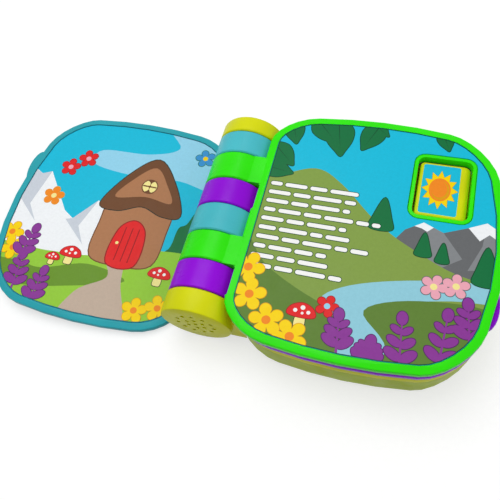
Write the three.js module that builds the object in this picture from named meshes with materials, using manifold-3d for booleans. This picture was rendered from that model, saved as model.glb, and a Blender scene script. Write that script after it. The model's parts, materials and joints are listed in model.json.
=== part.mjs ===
// Toddler's electronic sound book, lying open: a fat cylindrical spine with hinge
// rings, three thick moulded leaves and a deep base with one big picture button.
// Millimetres, +Z up. X runs across the open book and Y along the spine.
// Lengths are worked out about the spine's axis; the last lines move the whole
// book so that its origin is at the bottom centre.
import * as THREE from 'three';
import { mergeVertices } from 'three/addons/utils/BufferGeometryUtils.js';
import Module from 'manifold-3d';

const wasm = await Module();
wasm.setup();

// Sizes

// spine
const SPINE_RADIUS = 27;
const RING_WALL = 4.7;
const CORE_WALL = 2;
const CORE_OVERLAP = 7.6;
const RUNNING_GAP = 0.3;
const RING_GAP = 0.6;
const RING_CHAMFER = 0.9;
const END_LENGTH_NEAR = 18.2;
const END_LENGTH_FAR = 14.5;
const SPINE_END_MARGIN = 12.6;
const RING_SHARES = [23.3, 24, 24, 23, 24.8, 21.2];
const END_WALL = 2.2;
const END_ROUND = 1.6;

// leaves
const LEAF_REACH = 201.4;
const LEAF_HALF_LENGTH = 99.1;
const LEAF_THICKNESS = 6;
const LEAF_GAP = 0.4;
const LEAF_TOP = 23.7;
const LEAF_EDGE_ROUND = 1.3;
const INNER_CORNER = [37.7, 24.9];
const OUTER_CORNER = [31.1, 34.4];
const END_BULGE = 9.2;
const SIDE_BULGE = 17;
const SWING_CLEARANCE = 0.5;
const KNUCKLE_NOTCH = 1.6;
const TONGUE_LENGTH = 1.6;
const COVER_OPEN_ANGLE = 176.5;

// page tabs
const TAB_PROUD = 2.8;
const TAB_ROOT = 4;
const TAB_HALF_LENGTH = 17;
const TAB_PLACES = { teal: 32, green: -2, purple: -37 };

// picture labels
const LABEL_BORDER = 5.8;
const LABEL_SPINE_EDGE = 27.4;
const LABEL_THICKNESS = 0.5;
const LABEL_GAP = 0.3;
const LABEL_RECESS = 0.9;

// window and the picture button under it
const WINDOW_WIDTH = 38.8;
const WINDOW_LENGTH = 51;
const WINDOW_SIDE_MARGIN = 26.4;
const WINDOW_END_MARGIN = 28.4;
const WINDOW_CORNER = 5;
const WINDOW_RIM = 3;
const WINDOW_RIM_ROUND = 0.7;
const WINDOW_STEP = 1.4;
const BUTTON_SIDE_GAP = 1.8;
const BUTTON_OUTER_GAP = 2.6;
const BUTTON_RECESS = 3.2;
const BUTTON_EDGE_ROUND = 1.2;
const BUTTON_OUTER_ROUND = 4;
const BUTTON_WALL = 2;
const BUTTON_TRAVEL = 2.5;
const BUTTON_FLANGE = 2.5;
const BUTTON_FLANGE_THICKNESS = 1.6;
const BUTTON_DECK_GAP = 0.6;
const BUTTON_LABEL_BORDER = 1.6;
const BUTTON_LABEL_OUTER_BORDER = 4.6;
const POST_RADIUS = 3;
const SPRING_SEAT_RADIUS = 7;
const SPRING_SEAT_THICKNESS = 2;
const SPRING_LENGTH = 12.6;
const SPRING_RADIUS = 5;
const SPRING_WIRE = 0.5;
const SPRING_TURNS = 4;

// base housing
const BASE_BOTTOM = -29;
const BASE_SEAM = 3;
const BASE_WALL = 2.2;
const BASE_INSET = 0.6;
const BASE_ROUND_HEIGHT = 12;
const BASE_ROUND_WIDTH = 9;
const DECK_EDGE_ROUND = 1;
const ARM_Z = [-22, 4];
const ARM_ROOT = 6;

// case screws: two on the spine side, two on the outer side
const SCREW_SPINE_MARGIN = 24;
const SCREW_SIDE_MARGINS = [27.4, 37.4];
const SCREW_END_MARGINS = [33.1, 17.1];
const SCREW_RADIUS = 1.5;
const SCREW_HEAD_RADIUS = 3;
const SCREW_HEAD_THICKNESS = 1.6;
const SLOT_LENGTH = 3.6;
const SLOT_WIDTH = 0.8;
const SLOT_DEPTH = 0.6;
const SCREW_RECESS_TOP = -19;
const BOSS_RADIUS = 5;
const BOSS_TOP = -9;
const SCREW_LENGTH = 18;

// battery compartment
const CELL_RADIUS = 7.1;
const CELL_LENGTH = 50.5;
const CELL_NUB_RADIUS = 2.6;
const CELL_NUB_LENGTH = 1.4;
const CELL_COUNT = 3;
const CELL_PITCH = 15.2;
const CELLS_SPINE_MARGIN = 46;
const CELLS_END_MARGIN = 43.1;
const CONTACT_SPRING_LENGTH = 4.5;
const CONTACT_PLATE_THICKNESS = 0.6;
const COMPARTMENT_WALL = 1.8;
const DOOR_THICKNESS = 3.2;
const DOOR_SCREW_SINK = 0.6;
const DOOR_LEDGE = 2;
const DOOR_SCREW_TAB = 10;

// circuit board and what is on it
const BOARD_WIDTH = 60;
const BOARD_LENGTH = 48;
const BOARD_SHIFT = -7.2;
const BOARD_TOP = -4.4;
const BOARD_THICKNESS = 1.6;
const BOARD_POST_RADIUS = 3;
const BOARD_POST_INSET = 4;
const SWITCH_SIZE = 6;
const SWITCH_HEIGHT = 3.5;
const SWITCH_CAP_RADIUS = 1.7;
const CHIP_SIZE = 11;
const CHIP_HEIGHT = 2.4;
const LED_RADIUS = 2.5;
const LED_HEIGHT = 6;
const CAPACITOR_RADIUS = 3.2;
const CAPACITOR_HEIGHT = 8;
const PART_OFFSET = 9.5;

// loudspeaker
const SPEAKER_RADIUS = 19.4;
const SPEAKER_DEPTH = 6.4;
const SPEAKER_RIM = 2;
const SPEAKER_WALL = 1;
const CONE_DEPTH = 3.6;
const MAGNET_RADIUS = 9;
const MAGNET_DEPTH = 5;
const SOUND_HOLE_RADIUS = 1.7;
const SOUND_HOLE_CIRCLES = [[0, 1], [7, 6], [14, 11]];

// power switch
const SLIDER_BOARD_GAP = 14;
const SLIDER_END_MARGIN = 47.1;
const SLIDER_TRAVEL = 4;
const SLIDER_POCKET = [8, 4.2];
const SLIDER_POCKET_DEPTH = 4;
const SLIDER_KNOB = [3, 3.6];
const SLIDER_KNOB_SINK = 0.6;
const SLIDER_STEM = [1.2, 1];
const SLIDER_STEM_LENGTH = 4;
const SWITCH_BODY = [7, 3.4, 6.5];

// Colours

function material(color, roughness, metalness = 0) {
  return new THREE.MeshStandardMaterial({ color, roughness, metalness });
}

const TEAL = material('#4fb4c4', 0.35);
const GREEN = material('#41e026', 0.3);
const PURPLE = material('#8a22d2', 0.32);
const LIME = material('#bcc738', 0.4);
const LIME_SIDE = material('#a4ae33', 0.45);
const SKY_PRINT = material('#3cc0e0', 0.5);
const MEADOW_PRINT = material('#86b848', 0.5);
const COVER_PRINT = material('#5fb7cf', 0.5);
const BLACK_PLASTIC = material('#222326', 0.5);
const GREY_PLASTIC = material('#6d7176', 0.55);
const WHITE_PLASTIC = material('#e8e8e4', 0.45);
const BOARD_GREEN = material('#1f6b3a', 0.5);
const STEEL = material('#b9bcc0', 0.3, 0.9);
const DARK_STEEL = material('#55585c', 0.4, 0.8);
const CONE_PAPER = material('#2b2b2d', 0.8);
const CELL_WRAP = material('#2f4a6b', 0.4, 0.2);

// Shapes

// three.js geometry to a closed manifold solid
function solid(geometry) {
  const bare = geometry.clone();
  bare.deleteAttribute('normal');
  bare.deleteAttribute('uv');
  const merged = mergeVertices(bare, 1e-4);
  const mesh = new wasm.Mesh({
    numProp: 3,
    vertProperties: new Float32Array(merged.attributes.position.array),
    triVerts: new Uint32Array(merged.index.array),
  });
  mesh.merge();
  return new wasm.Manifold(mesh);
}

function geometryOf(body) {
  const mesh = body.getMesh();
  const geometry = new THREE.BufferGeometry();
  const positions = new THREE.BufferAttribute(new Float32Array(mesh.vertProperties), 3);
  geometry.setAttribute('position', positions);
  geometry.setIndex([...mesh.triVerts]);
  const split = geometry.toNonIndexed();
  split.computeVertexNormals();
  return split;
}

function block(x, y, z) {
  const size = [x[1] - x[0], y[1] - y[0], z[1] - z[0]];
  const geometry = new THREE.BoxGeometry(...size);
  geometry.translate((x[0] + x[1]) / 2, (y[0] + y[1]) / 2, (z[0] + z[1]) / 2);
  return solid(geometry);
}

// cylinder along Y about the spine's axis
function barrel(radius, y0, y1, sides = 40) {
  const geometry = new THREE.CylinderGeometry(radius, radius, y1 - y0, sides);
  geometry.translate(0, (y0 + y1) / 2, 0);
  return solid(geometry);
}

// upright cylinder
function post(radius, x, y, z0, z1, sides = 16) {
  const geometry = new THREE.CylinderGeometry(radius, radius, z1 - z0, sides);
  geometry.rotateX(Math.PI / 2);
  geometry.translate(x, y, (z0 + z1) / 2);
  return solid(geometry);
}

// body of revolution about the spine's axis, from [radius, y] pairs
function turned(profile, sides = 40) {
  const points = profile.map(([r, y]) => new THREE.Vector2(r, y));
  return solid(new THREE.LatheGeometry(points, sides));
}

function toShape(points) {
  return new THREE.Shape(points.map(([x, y]) => new THREE.Vector2(x, y)));
}

// upright plate of a closed outline, its edges rounded by a width and a height
function plate(points, z0, z1, round = 0, roundHeight = round, steps = 2) {
  const geometry = new THREE.ExtrudeGeometry(toShape(points), {
    depth: z1 - z0 - 2 * roundHeight,
    bevelEnabled: round > 0,
    bevelSize: round,
    bevelOffset: -round,
    bevelThickness: roundHeight,
    bevelSegments: steps,
    curveSegments: 8,
  });
  geometry.translate(0, 0, z0 + roundHeight);
  return solid(geometry);
}

// an [x, z] section carried along Y
function bar(points, y0, y1, round = 0) {
  const geometry = new THREE.ExtrudeGeometry(toShape(points), {
    depth: y1 - y0 - 2 * round,
    bevelEnabled: round > 0,
    bevelSize: round,
    bevelOffset: -round,
    bevelThickness: round,
    bevelSegments: 2,
  });
  geometry.rotateX(Math.PI / 2);
  geometry.translate(0, y1 - round, 0);
  return solid(geometry);
}

function arc(cx, cy, a, b, from, steps = 6) {
  const points = [];
  for (let i = 0; i <= steps; i += 1) {
    const t = THREE.MathUtils.degToRad(from + (90 * i) / steps);
    points.push([cx + a * Math.cos(t), cy + b * Math.sin(t)]);
  }
  return points;
}

function roundedRectangle(x, y, radius, steps = 4) {
  const r = Math.min(radius, (x[1] - x[0]) / 2.01, (y[1] - y[0]) / 2.01);
  return [
    ...arc(x[0] + r, y[0] + r, r, r, 180, steps),
    ...arc(x[1] - r, y[0] + r, r, r, 270, steps),
    ...arc(x[1] - r, y[1] - r, r, r, 0, steps),
    ...arc(x[0] + r, y[1] - r, r, r, 90, steps),
  ];
}

// a smooth convex outline moved inwards by a distance
function insetLoop(points, distance) {
  const count = points.length;
  return points.map(([x, y], i) => {
    const before = points[(i + count - 1) % count];
    const after = points[(i + 1) % count];
    const a = new THREE.Vector2(x - before[0], y - before[1]).normalize();
    const b = new THREE.Vector2(after[0] - x, after[1] - y).normalize();
    const normal = new THREE.Vector2(-a.y - b.y, a.x + b.x).normalize();
    const stretch = 1 / Math.max(0.5, -a.y * normal.x + a.x * normal.y);
    return [x + normal.x * distance * stretch, y + normal.y * distance * stretch];
  });
}

// outline of a leaf seen from above, anticlockwise, from a given spine-side edge
function leafLoop(spineEdge, inset = 0) {
  const [a1, b1] = INNER_CORNER;
  const [a2, b2] = OUTER_CORNER;
  const half = LEAF_HALF_LENGTH;
  const left = spineEdge + a1;
  const right = LEAF_REACH - a2;
  const along = [0.25, 0.5, 0.75].map((t) => left + (right - left) * t);
  const up = [-0.5, 0, 0.5].map((t) => t * (half - b2));
  const plain = [
    ...arc(left, b1 - half, a1, b1, 180),
    ...along.map((x) => [x, -half]),
    ...arc(right, b2 - half, a2, b2, 270),
    ...up.map((y) => [LEAF_REACH, y]),
    ...arc(right, half - b2, a2, b2, 0),
    ...along.toReversed().map((x) => [x, half]),
    ...arc(left, half - b1, a1, b1, 90),
  ];
  const centre = (spineEdge + LEAF_REACH) / 2;
  const reach = (LEAF_REACH - spineEdge) / 2;
  const warped = plain.map(([x, y]) => {
    const across = (x - centre) / reach;
    const lengthwise = y / half;
    const outward = (x - spineEdge) / (2 * reach);
    return [
      x - SIDE_BULGE * lengthwise ** 2 * outward,
      y - END_BULGE * across ** 2 * lengthwise,
    ];
  });
  return insetLoop(warped, inset);
}

function edgeAt(y) {
  return LEAF_REACH - SIDE_BULGE * (y / LEAF_HALF_LENGTH) ** 2;
}

// where a circle about the spine's axis reaches at a given height
function chord(radius, z) {
  return Math.sqrt(Math.max(0, radius ** 2 - z ** 2));
}

// wire coil about an upright axis; its ends are closed by the extrusion
function coil(radius, wire, turns, length, x, y, z) {
  class Helix extends THREE.Curve {
    getPoint(t, target = new THREE.Vector3()) {
      const angle = 2 * Math.PI * turns * t;
      const height = wire + (length - 2 * wire) * t;
      return target.set(radius * Math.cos(angle), radius * Math.sin(angle), height);
    }
  }
  const section = new THREE.Shape();
  section.absarc(0, 0, wire, 0, 2 * Math.PI, false);
  const geometry = new THREE.ExtrudeGeometry(section, {
    steps: Math.round(turns * 8),
    extrudePath: new Helix(),
    curveSegments: 3,
  });
  geometry.translate(x, y, z);
  return solid(geometry);
}

// Levels

const greenBottom = LEAF_TOP - LEAF_THICKNESS;
const purpleTop = greenBottom - LEAF_GAP;
const purpleBottom = purpleTop - LEAF_THICKNESS;
const deckTop = purpleBottom - LEAF_GAP;
const deckUnder = deckTop - BASE_WALL;
const tealInner = LEAF_TOP + LEAF_GAP;
const sweepRadius = SPINE_RADIUS + SWING_CLEARANCE;
const ringBore = SPINE_RADIUS - RING_WALL;
const coreRadius = ringBore - RUNNING_GAP;

const farEnd = LEAF_HALF_LENGTH - SPINE_END_MARGIN;
const nearEnd = -farEnd;
const ringsStart = nearEnd + END_LENGTH_NEAR;
const ringsEnd = farEnd - END_LENGTH_FAR;
const shareSum = RING_SHARES.reduce((sum, share) => sum + share);
const ringEdges = RING_SHARES.reduce((edges, share) => [
  ...edges,
  edges.at(-1) + ((ringsEnd - ringsStart) * share) / shareSum,
], [ringsStart]);
const ringSpans = RING_SHARES.map((_, i) => [
  ringEdges[i] + RING_GAP / 2,
  ringEdges[i + 1] - RING_GAP / 2,
]);
const [purpleNear, greenNear, tealNear, purpleFar, greenFar, tealFar] = ringSpans;

const windowRight = LEAF_REACH - WINDOW_SIDE_MARGIN;
const windowFar = LEAF_HALF_LENGTH - WINDOW_END_MARGIN;
const windowX = [windowRight - WINDOW_WIDTH, windowRight];
const windowY = [windowFar - WINDOW_LENGTH, windowFar];

// Leaves

function ring([y0, y1]) {
  const c = RING_CHAMFER;
  return turned([
    [ringBore, y0],
    [SPINE_RADIUS - c, y0],
    [SPINE_RADIUS, y0 + c],
    [SPINE_RADIUS, y1 - c],
    [SPINE_RADIUS - c, y1],
    [ringBore, y1],
    [ringBore, y0],
  ]);
}

function tab(place, z0, z1) {
  const a = TAB_PROUD + TAB_ROOT;
  const loop = [0, 90, 180, 270].flatMap((from) =>
    arc(edgeAt(place) - TAB_ROOT, place, a, TAB_HALF_LENGTH, from, 6).slice(0, -1));
  return plate(loop, z0, z1, LEAF_EDGE_ROUND);
}

function labelLoop(clearance = 0) {
  return leafLoop(LABEL_SPINE_EDGE - LABEL_BORDER, LABEL_BORDER + clearance);
}

function span(centre, half) {
  return [centre - half, centre + half];
}

function grow([low, high], by) {
  return [low - by, high + by];
}

function rimLoop(extra = 0) {
  const by = WINDOW_RIM + extra;
  return roundedRectangle(grow(windowX, by), grow(windowY, by), WINDOW_CORNER + by);
}

// a label's sheet, or the pocket that it lies in
function labelSheet(z0, z1, clearance, hasWindow) {
  const sheet = plate(labelLoop(clearance), z0, z1);
  if (!hasWindow) return sheet;
  return sheet.subtract(plate(rimLoop(clearance), z0 - 1, z1 + 1));
}

// a leaf's plate, with a pocket for each label and a slot for each ring's tongue
function leaf({ bottom, spineEdge, spans, tabPlace, hasWindow }) {
  const top = bottom + LEAF_THICKNESS;
  let body = plate(leafLoop(spineEdge), bottom, top, LEAF_EDGE_ROUND)
    .add(tab(tabPlace, bottom, top))
    .subtract(labelSheet(top - LABEL_RECESS, top + 1, 0, false))
    .subtract(labelSheet(bottom - 1, bottom + LABEL_RECESS, 0, false));
  for (const ringSpan of spans) {
    const slot = [0, spineEdge + TONGUE_LENGTH + RUNNING_GAP];
    body = body.subtract(block(slot, grow(ringSpan, RUNNING_GAP), [bottom - 1, top + 1]));
  }
  if (hasWindow) body = body.subtract(plate(rimLoop(), bottom - 1, top + 1));
  return body;
}

// the rim of a window; the lower leaf's window is a step wider than the upper one's
function windowFrame(bottom, step = 0) {
  const top = bottom + LEAF_THICKNESS;
  const opening = roundedRectangle(grow(windowX, step), grow(windowY, step), WINDOW_CORNER);
  return plate(rimLoop(-RUNNING_GAP), bottom, top, WINDOW_RIM_ROUND)
    .subtract(plate(opening, bottom - 1, top + 1));
}

// a hinge ring with the tongue that is glued into its leaf
function leafRing({ bottom, spineEdge, web }, ringSpan) {
  return ring(ringSpan)
    .add(web(ringSpan, bottom, bottom + LEAF_THICKNESS, spineEdge))
    .subtract(barrel(ringBore, nearEnd, farEnd));
}

function leafLabels(bottom, hasWindow) {
  const low = bottom + LABEL_RECESS - LABEL_GAP;
  const high = bottom + LEAF_THICKNESS - LABEL_RECESS + LABEL_GAP;
  return {
    under: labelSheet(low - LABEL_THICKNESS, low, LABEL_GAP, hasWindow),
    over: labelSheet(high, high + LABEL_THICKNESS, LABEL_GAP, hasWindow),
  };
}

// straight tongue from a ring into a leaf that lies beside the spine
function flatWeb([y0, y1], bottom, top, spineEdge) {
  const start = chord(ringBore, bottom) * 0.9;
  return block([start, spineEdge + TONGUE_LENGTH], [y0, y1], [bottom, top]);
}

// sloped tongue from a ring up into the cover leaf, which lies higher than the ring
function coverWeb([y0, y1], bottom, top, spineEdge) {
  const start = 2;
  const crest = SPINE_RADIUS - 0.2;
  const deep = Math.min(bottom, crest - 2.5);
  const edge = chord(SPINE_RADIUS, bottom);
  const section = [
    [start, deep],
    [edge * 0.8, deep],
    [edge, bottom],
    [spineEdge + TONGUE_LENGTH, bottom],
    [spineEdge + TONGUE_LENGTH, top],
    [spineEdge + 1, top],
    [start, crest],
  ];
  return bar(section, y0, y1);
}

const greenEdge = chord(sweepRadius, greenBottom);
const purpleEdge = chord(sweepRadius, purpleBottom);
const baseEdge = sweepRadius + LEAF_GAP;

function notches(spans, edge, z0, z1) {
  return spans.map(([y0, y1]) => {
    const loop = roundedRectangle([edge - 6, edge + KNUCKLE_NOTCH], [y0, y1], 1.5);
    return plate(loop, z0 - 1, z1 + 1);
  });
}

const tealPlan = {
  bottom: tealInner,
  spineEdge: greenEdge,
  spans: [tealNear, tealFar],
  tabPlace: TAB_PLACES.teal,
  hasWindow: false,
  web: coverWeb,
};
const greenPlan = {
  bottom: greenBottom,
  spineEdge: greenEdge,
  spans: [greenNear, greenFar],
  tabPlace: TAB_PLACES.green,
  hasWindow: true,
  web: flatWeb,
};
const purplePlan = {
  bottom: purpleBottom,
  spineEdge: purpleEdge,
  spans: [purpleNear, purpleFar],
  tabPlace: TAB_PLACES.purple,
  hasWindow: true,
  web: flatWeb,
};
let greenLeaf = leaf(greenPlan);
for (const notch of notches([purpleNear, purpleFar], greenEdge, greenBottom, LEAF_TOP)) {
  greenLeaf = greenLeaf.subtract(notch);
}
const tealLabels = leafLabels(tealInner, false);
const greenLabels = leafLabels(greenBottom, true);
const purpleLabels = leafLabels(purpleBottom, true);

// Spine

const coreSpan = [ringsStart - CORE_OVERLAP, ringsEnd + CORE_OVERLAP];
const coreBody = barrel(coreRadius, ...coreSpan)
  .subtract(barrel(coreRadius - CORE_WALL, coreSpan[0] - 1, coreSpan[1] + 1));

function baseLoop(inset) {
  return leafLoop(baseEdge, inset);
}

// an end barrel: it holds the core in a collar and the base on an arm
function spineEnd(outer, inner) {
  const out = Math.sign(outer);
  const face = inner + (out * RING_GAP) / 2;
  const collar = inner + out * (CORE_OVERLAP + RUNNING_GAP);
  const r = SPINE_RADIUS;
  const e = END_ROUND;
  const c = RING_CHAMFER;
  const cup = [
    [0, outer],
    [r - e, outer],
    [r - 0.3 * e, outer - out * 0.3 * e],
    [r, outer - out * e],
    [r, face + out * c],
    [r - c, face],
    [0, face],
  ];
  const profile = out < 0 ? cup : cup.toReversed();
  const armSide = [outer - out * (END_ROUND + 3), face + out * 0.5].sort((a, b) => a - b);
  const arm = block([ARM_ROOT, baseEdge + INNER_CORNER[0] / 2], armSide, ARM_Z)
    .subtract(plate(baseLoop(BASE_INSET - RUNNING_GAP), BASE_BOTTOM - 1, deckTop + 1));
  const hollow = [outer - out * END_WALL, collar].sort((a, b) => a - b);
  const bore = [collar + out * 0.5, face - out].sort((a, b) => a - b);
  const hollowRadius = Math.max(coreRadius, SPINE_RADIUS - END_WALL);
  return turned(profile)
    .add(arm)
    .subtract(barrel(hollowRadius, ...hollow))
    .subtract(barrel(ringBore, ...bore));
}

const holes = SOUND_HOLE_CIRCLES.flatMap(([radius, count]) =>
  Array.from({ length: count }, (_, i) => {
    const angle = (2 * Math.PI * i) / count + Math.PI / 2;
    return [radius * Math.cos(angle), radius * Math.sin(angle)];
  }));
let nearEndBody = spineEnd(nearEnd, ringsStart);
for (const [x, z] of holes) {
  const drill = barrel(SOUND_HOLE_RADIUS, nearEnd - 1, nearEnd + END_WALL + 1, 8);
  nearEndBody = nearEndBody.subtract(drill.translate([x, 0, z]));
}
const farEndBody = spineEnd(farEnd, ringsEnd);

// Speaker

const speakerFront = nearEnd + END_WALL + RUNNING_GAP;
const speakerBack = speakerFront + SPEAKER_DEPTH;
const rearHole = MAGNET_RADIUS - 2;
const speakerFrame = turned([
  [SPEAKER_RADIUS - SPEAKER_RIM, speakerFront],
  [SPEAKER_RADIUS, speakerFront],
  [SPEAKER_RADIUS, speakerFront + 1.4],
  [MAGNET_RADIUS + 1, speakerBack],
  [rearHole, speakerBack],
  [rearHole, speakerBack - SPEAKER_WALL],
  [MAGNET_RADIUS, speakerBack - SPEAKER_WALL],
  [SPEAKER_RADIUS - SPEAKER_RIM, speakerFront + 1],
  [SPEAKER_RADIUS - SPEAKER_RIM, speakerFront],
], 32);
const coneEdge = SPEAKER_RADIUS - SPEAKER_RIM - RUNNING_GAP;
const coneFront = speakerFront + 0.4;
const speakerCone = turned([
  [0, coneFront + CONE_DEPTH - 1.6],
  [4, coneFront + CONE_DEPTH - 1.2],
  [5, coneFront + CONE_DEPTH - 0.8],
  [coneEdge, coneFront],
  [coneEdge, coneFront + 0.5],
  [6, coneFront + CONE_DEPTH],
  [0, coneFront + CONE_DEPTH],
], 32);
const magnetFront = speakerBack + RUNNING_GAP;
const speakerMagnet = barrel(MAGNET_RADIUS, magnetFront, magnetFront + MAGNET_DEPTH, 24);

// Button

const buttonX = [windowX[0] + BUTTON_SIDE_GAP, windowX[1] - BUTTON_OUTER_GAP];
const buttonY = grow(windowY, -BUTTON_SIDE_GAP);
const buttonTop = LEAF_TOP - BUTTON_RECESS;
const flangeTop = deckUnder - RUNNING_GAP;
const flangeBottom = flangeTop - BUTTON_FLANGE_THICKNESS;
const buttonCentre = [(buttonX[0] + buttonX[1]) / 2, (buttonY[0] + buttonY[1]) / 2];
const boardSeat = BOARD_TOP + RUNNING_GAP;
const postFoot = boardSeat + SWITCH_HEIGHT + BUTTON_TRAVEL + RUNNING_GAP;
const springTop = boardSeat + SPRING_LENGTH;

function buttonBody() {
  const outerRound = arc(
    buttonX[1] - BUTTON_OUTER_ROUND,
    buttonTop - BUTTON_OUTER_ROUND,
    BUTTON_OUTER_ROUND,
    BUTTON_OUTER_ROUND,
    0,
    5,
  );
  const e = BUTTON_EDGE_ROUND;
  const section = [
    [buttonX[0], flangeBottom],
    [buttonX[1], flangeBottom],
    ...outerRound,
    [buttonX[0] + e, buttonTop],
    [buttonX[0] + 0.3 * e, buttonTop - 0.3 * e],
    [buttonX[0], buttonTop - e],
  ];
  const outer = bar(section, ...buttonY, e);
  const flange = plate(
    roundedRectangle(grow(buttonX, BUTTON_FLANGE), grow(buttonY, BUTTON_FLANGE), 2),
    flangeBottom,
    flangeTop,
  );
  const insideX = grow(buttonX, -BUTTON_WALL);
  const insideY = grow(buttonY, -BUTTON_WALL);
  const ceiling = buttonTop - LABEL_RECESS - BUTTON_WALL;
  const inside = block(insideX, insideY, [flangeBottom - 1, ceiling - BUTTON_OUTER_ROUND])
    .add(block(
      [insideX[0], insideX[1] - BUTTON_OUTER_ROUND],
      insideY,
      [flangeBottom - 1, ceiling],
    ));
  const seat = post(SPRING_SEAT_RADIUS, ...buttonCentre,
    springTop + RUNNING_GAP, springTop + RUNNING_GAP + SPRING_SEAT_THICKNESS);
  return outer
    .add(flange)
    .subtract(inside)
    .add(post(POST_RADIUS, ...buttonCentre, postFoot, ceiling + 1))
    .add(seat)
    .subtract(plate(buttonLabelLoop(0), buttonTop - LABEL_RECESS, buttonTop + 1));
}

function buttonLabelLoop(clearance) {
  const b = BUTTON_LABEL_BORDER + clearance;
  const x = [buttonX[0] + b, buttonX[1] - BUTTON_LABEL_OUTER_BORDER - clearance];
  return roundedRectangle(x, grow(buttonY, -b), 2);
}

const buttonLabelLow = buttonTop - LABEL_RECESS + LABEL_GAP;
const buttonLabel = plate(
  buttonLabelLoop(LABEL_GAP),
  buttonLabelLow,
  buttonLabelLow + LABEL_THICKNESS,
);
const buttonSpring = coil(
  SPRING_RADIUS,
  SPRING_WIRE,
  SPRING_TURNS,
  SPRING_LENGTH,
  ...buttonCentre,
  boardSeat,
);

// Compartment

const endStack = CONTACT_PLATE_THICKNESS + 2 * RUNNING_GAP;
const cavityLength = CELL_LENGTH + CONTACT_SPRING_LENGTH + 2 * endStack;
const cellsLeft = baseEdge + CELLS_SPINE_MARGIN;
const cellsNear = CELLS_END_MARGIN - LEAF_HALF_LENGTH;
const cavityX = [cellsLeft, cellsLeft + cavityLength];
const cavityY = [cellsNear, cellsNear + CELL_PITCH * CELL_COUNT];
const doorTop = BASE_BOTTOM + DOOR_THICKNESS;
const cavityBottom = doorTop + RUNNING_GAP;
const cellBottom = cavityBottom + RUNNING_GAP;
const cellZ = cellBottom + CELL_RADIUS;
const cavityTop = cellZ + CELL_RADIUS + RUNNING_GAP;
const doorX = [cavityX[0] - DOOR_LEDGE, cavityX[1] + DOOR_LEDGE + DOOR_SCREW_TAB];
const doorY = grow(cavityY, DOOR_LEDGE);
const doorScrewPlace = [doorX[1] - DOOR_SCREW_TAB / 2, (doorY[0] + doorY[1]) / 2];
const cellYs = Array.from({ length: CELL_COUNT }, (_, i) => cavityY[0] + CELL_PITCH * (i + 0.5));

function cell(i) {
  const start = cavityX[0] + endStack + (i % 2 === 0 ? CONTACT_SPRING_LENGTH : 0);
  const profile = [
    [0, 0],
    [CELL_RADIUS, 0],
    [CELL_RADIUS, CELL_LENGTH - CELL_NUB_LENGTH],
    [CELL_NUB_RADIUS, CELL_LENGTH - CELL_NUB_LENGTH],
    [CELL_NUB_RADIUS, CELL_LENGTH],
    [0, CELL_LENGTH],
  ];
  const turn = i % 2 === 0 ? -90 : 90;
  const shift = i % 2 === 0 ? start : start + CELL_LENGTH;
  return turned(profile, 16).rotate([0, 0, turn]).translate([shift, cellYs[i], cellZ]);
}

function contactSpring(i) {
  const atStart = i % 2 === 0;
  const radius = CELL_RADIUS - 2.4;
  const length = CONTACT_SPRING_LENGTH - RUNNING_GAP;
  const wound = coil(radius, SPRING_WIRE, 2.5, length, 0, 0, 0);
  const lying = wound.rotate([0, 90, 0]);
  const x = atStart
    ? cavityX[0] + endStack
    : cavityX[1] - endStack - length;
  return lying.translate([x, cellYs[i], cellZ]);
}

function contactPlate(x) {
  const high = cavityTop - 2;
  const sheet = [x, x + CONTACT_PLATE_THICKNESS];
  return block(sheet, grow(cavityY, -RUNNING_GAP), [cavityBottom + 1, high]);
}

// Screws

// a pan-head screw that points up, its head's underside at a given height
function screw(x, y, headTop, length) {
  const head = post(SCREW_HEAD_RADIUS, x, y, headTop - SCREW_HEAD_THICKNESS, headTop, 12);
  const driven = [headTop - SCREW_HEAD_THICKNESS - 1, headTop - SCREW_HEAD_THICKNESS + SLOT_DEPTH];
  const slot = block(span(x, SLOT_LENGTH / 2), span(y, SLOT_WIDTH / 2), driven);
  const cross = block(span(x, SLOT_WIDTH / 2), span(y, SLOT_LENGTH / 2), driven);
  return head
    .add(post(SCREW_RADIUS, x, y, headTop - 0.5, headTop + length, 8))
    .subtract(slot)
    .subtract(cross);
}

const [screwSide, screwFarSide] = SCREW_SIDE_MARGINS.map((m) => LEAF_REACH - m);
const [screwEnd, screwFarEnd] = SCREW_END_MARGINS.map((m) => LEAF_HALF_LENGTH - m);
const screwPlaces = [
  [baseEdge + SCREW_SPINE_MARGIN, -screwEnd],
  [baseEdge + SCREW_SPINE_MARGIN, screwEnd],
  [screwSide, -screwEnd],
  [screwFarSide, screwFarEnd],
];
const screwHole = SCREW_RADIUS + RUNNING_GAP;
const headHole = SCREW_HEAD_RADIUS + RUNNING_GAP;
const caseHeadTop = SCREW_RECESS_TOP - RUNNING_GAP;
const doorHeadTop = BASE_BOTTOM + DOOR_SCREW_SINK + SCREW_HEAD_THICKNESS;
const doorScrewLength = 8;

// Housing

const boardX = span(buttonCentre[0], BOARD_WIDTH / 2);
const boardY = span(buttonCentre[1] + BOARD_SHIFT, BOARD_LENGTH / 2);
const boardCorners = [0, 1].flatMap((i) => [0, 1].map((j) => [
  grow(boardX, -BOARD_POST_INSET)[i],
  grow(boardY, -BOARD_POST_INSET)[j],
]));
const sliderPlace = [boardX[0] - SLIDER_BOARD_GAP, LEAF_HALF_LENGTH - SLIDER_END_MARGIN];
const boardBottom = BOARD_TOP - BOARD_THICKNESS;
const trayFloor = BASE_BOTTOM + BASE_WALL;
const pocketTop = BASE_BOTTOM + SLIDER_POCKET_DEPTH;
const padTop = pocketTop + 1.6;

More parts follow.
